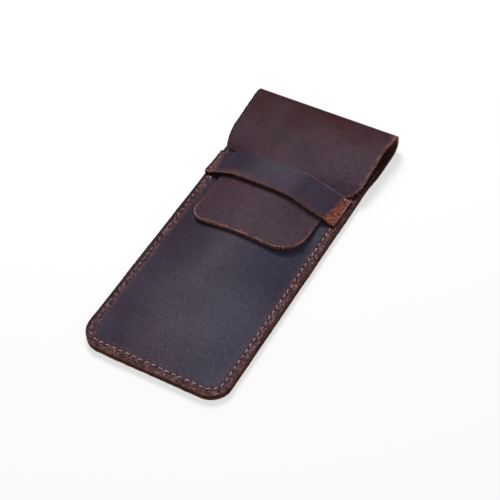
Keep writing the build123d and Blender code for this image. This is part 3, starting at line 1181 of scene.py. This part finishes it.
def make_edge(name, top, middle, low, contrast, light=0.25):
    """A cut edge, in layers from the grain side to the flesh side: open fibre that stands
    across the cut, with dark between the tufts and pale ends on a few. Cut edges on the left side
    are darkened with painted shade."""
    nodes = Nodes(name, 0.8, 0.12)
    depth = nodes.value("depth")
    layer = nodes.mix(nodes.ramp(depth, 0.16, 0.34), top, middle)
    layer = nodes.over(layer, low, nodes.ramp(depth, 0.62, 0.84))
    fibres = nodes.noise(1000, 4, 0.7, nodes.stretched((1, 1, 0.4)))
    tufts = nodes.noise(560, 5, 0.7)
    open_fibre = nodes.times(nodes.ramp(fibres, 0.42, 0.54), nodes.ramp(tufts, 0.36, 0.50))
    share = nodes.math("ADD", nodes.times(open_fibre, contrast), 1 - contrast)
    colour = nodes.mix(share, EDGE_DARK_AND_SHADE, layer)
    ends = nodes.ramp(nodes.noise(800, 3, 0.7, nodes.stretched(shift=(5, 0, 0))), 0.56, 0.66)
    ends = nodes.times(ends, nodes.ramp(depth, 0.2, 0.7, 1.0, 0.0), light)
    colour = nodes.over(colour, SPARK, ends)
    # Painted shade: cut edges on the left side darkened
    left = nodes.ramp(nodes.axis("X"), -0.020, -0.016, 0.9, 0.0)
    left = nodes.times(left, nodes.ramp(nodes.axis("Y"), 0.004, 0.009))
    outer = nodes.ramp(nodes.axis("X"), -0.034, -0.030, 0.9, 0.0)
    colour = nodes.over(colour, EDGE_DARK_AND_SHADE, nodes.math("MAXIMUM", left, outer))
    normal = nodes.bump(fibres, 0.3, 0.8)
    nodes.finish(colour, nodes.bump(tufts, 0.25, 0.6, normal))


def make_thread_material():
    """Waxed sewing thread, soiled here and there by the leather's wax."""
    nodes = Nodes("sewing_thread", 0.55, 0.25)
    fibres = nodes.noise(2600, 3, 0.6)
    colour = nodes.mix(nodes.ramp(fibres, 0.35, 0.7), THREAD_LIGHT, THREAD_DARK)
    on_right = nodes.ramp(nodes.axis("X"), 0.026, 0.028)
    right_foot = nodes.times(on_right, nodes.ramp(nodes.axis("Y"), 0.018, 0.021))
    wax = nodes.mix(right_foot, THREAD_SOILED, RUST)
    colour = nodes.over(colour, wax, nodes.value("soil"), 0.95)
    nodes.finish(colour, nodes.bump(fibres, 0.05, 0.6))


def make_floor_material():
    """A plain pale floor, which the camera sees nearly white, with the case's soft shadow."""
    nodes = Nodes("floor", 0.9, 0.0)
    nodes.put(nodes.shader, {"Base Color": (0.95, 0.95, 0.95, 1)})
    white = nodes.add("ShaderNodeEmission")
    rays = nodes.add("ShaderNodeLightPath").outputs
    seen = nodes.math("ADD", rays["Is Camera Ray"], rays["Is Glossy Ray"], clamp=True)
    inputs = {"Fac": nodes.times(seen, 0.6), 1: nodes.shader.outputs[0], 2: white.outputs[0]}
    both = nodes.add("ShaderNodeMixShader", inputs)
    nodes.put(nodes.tree.nodes["Material Output"], {"Surface": both.outputs[0]})


make_front_grain()
make_flap_grain()
make_strap_grain()
make_flesh()
make_edge("raw_edge", EDGE_BROWN, CUT_RED, EDGE_RED, 0.8)
make_edge("strap_edge", EDGE_BROWN, EDGE_RED, EDGE_DARK_AND_SHADE, 1.0, 0.6)
make_edge("front_edge", EDGE_RED, EDGE_RED, EDGE_DARK_AND_SHADE, 0.75, 0.15)
make_edge("back_edge", EDGE_RED, EDGE_RED, EDGE_DARK_AND_SHADE, 0.85, 0.15)
make_thread_material()
make_floor_material()

# The long piece, split where it bends
long_leather = make_long_leather()
crest_z = fold_radius
over_back_z = leather + 0.2
back_leather = split_off(
    long_leather, "back_leather", lambda c: (c[:, 1] < fold_axis_y) & (c[:, 2] < over_back_z)
)
flap_leather = split_off(
    long_leather, "flap_leather", lambda c: (c[:, 1] < fold_axis_y) & (c[:, 2] > over_back_z)
)
roll_low = split_off(
    long_leather, "roll_low", lambda c: (c[:, 1] > fold_axis_y) & (c[:, 2] < crest_z)
)
roll_high = split_off(
    long_leather, "roll_high", lambda c: (c[:, 1] > fold_axis_y) & (c[:, 2] > crest_z)
)
bpy.data.objects.remove(long_leather)
sink_back_seam(back_leather)
back_leather.data.materials[2] = bpy.data.materials["back_edge"]
for leather_piece in (back_leather, flap_leather, roll_low, roll_high):
    smooth_shading(leather_piece)

front_leather = make_front()
strap_leather = make_strap()
front_thread = make_thread("front_thread", front_spans, rim_top, 1)
back_thread = make_thread("back_thread", back_spans, back_stitch_z, -1)

# Each piece on its body, for the nodes that it stands for
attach(back_leather, "case")
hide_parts("back_panel")
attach(flap_leather, "flap")
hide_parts("flap", "tongue")
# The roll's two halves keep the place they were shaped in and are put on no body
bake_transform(roll_low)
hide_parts("fold")
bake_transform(roll_high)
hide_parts("fold")
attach(front_leather, "case")
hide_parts("front_panel")
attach(strap_leather, "case")
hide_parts("retaining_strap")
for thread, node in ((front_thread, "front_stitches"), (back_thread, "back_stitches")):
    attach(thread, "case")
    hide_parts(node)


# Floor, light and camera


def make_floor():
    """A wide plain floor just under the case."""
    bpy.ops.object.select_all(action="DESELECT")
    bpy.ops.mesh.primitive_plane_add(size=12, location=(0, 0, -0.0002))
    floor = bpy.context.object
    floor.name = "floor"
    floor.data.materials.append(bpy.data.materials["floor"])


def soft_light(name, place, size, power):
    """A square soft light at place, aimed at the case. Metres and watts."""
    data = bpy.data.lights.new(name, "AREA")
    data.shape = "SQUARE"
    data.size = size
    data.energy = power
    lamp = bpy.data.objects.new(name, data)
    lamp.location = place
    aim = -Vector(place)
    lamp.rotation_euler = aim.to_track_quat("-Z", "Y").to_euler()
    bpy.context.scene.collection.objects.link(lamp)


def make_world(ambient):
    """Even light from all round, seen as white."""
    world = bpy.data.worlds.new("studio")
    bpy.context.scene.world = world
    world.use_nodes = True
    tree = world.node_tree
    output = tree.nodes["World Output"]
    around = tree.nodes["Background"]
    around.inputs["Color"].default_value = (1, 1, 1, 1)
    around.inputs["Strength"].default_value = ambient
    white = tree.nodes.new("ShaderNodeBackground")
    white.inputs["Color"].default_value = (1, 1, 1, 1)
    white.inputs["Strength"].default_value = 1.0
    path = tree.nodes.new("ShaderNodeLightPath")
    mix = tree.nodes.new("ShaderNodeMixShader")
    tree.links.new(path.outputs["Is Camera Ray"], mix.inputs["Fac"])
    tree.links.new(around.outputs[0], mix.inputs[1])
    tree.links.new(white.outputs[0], mix.inputs[2])
    tree.links.new(mix.outputs[0], output.inputs["Surface"])


def make_camera():
    """The camera at the photograph's angle: its place, its right and its up."""
    data = bpy.data.cameras.new("camera")
    data.lens = 99.86
    data.sensor_width = 36
    data.clip_start = 0.01
    camera = bpy.data.objects.new("camera", data)
    right = Vector((0.86889, 0.49231, -0.05157)).normalized()
    up = Vector((-0.34659, 0.67945, 0.64671)).normalized()
    back = right.cross(up).normalized()
    up = back.cross(right)
    turn = Matrix((right, up, back)).transposed().to_4x4()
    camera.matrix_world = Matrix.Translation((0.22092, -0.33663, 0.46559)) @ turn
    bpy.context.scene.collection.objects.link(camera)
    bpy.context.scene.camera = camera


make_floor()
soft_light("key", (-0.29, 0.40, 0.655), size=0.28, power=5.6)
soft_light("front fill", (0.35, -0.55, 0.5), size=0.5, power=1.1)
make_world(0.32)
make_camera()

scene = bpy.context.scene
scene.view_settings.view_transform = "Standard"
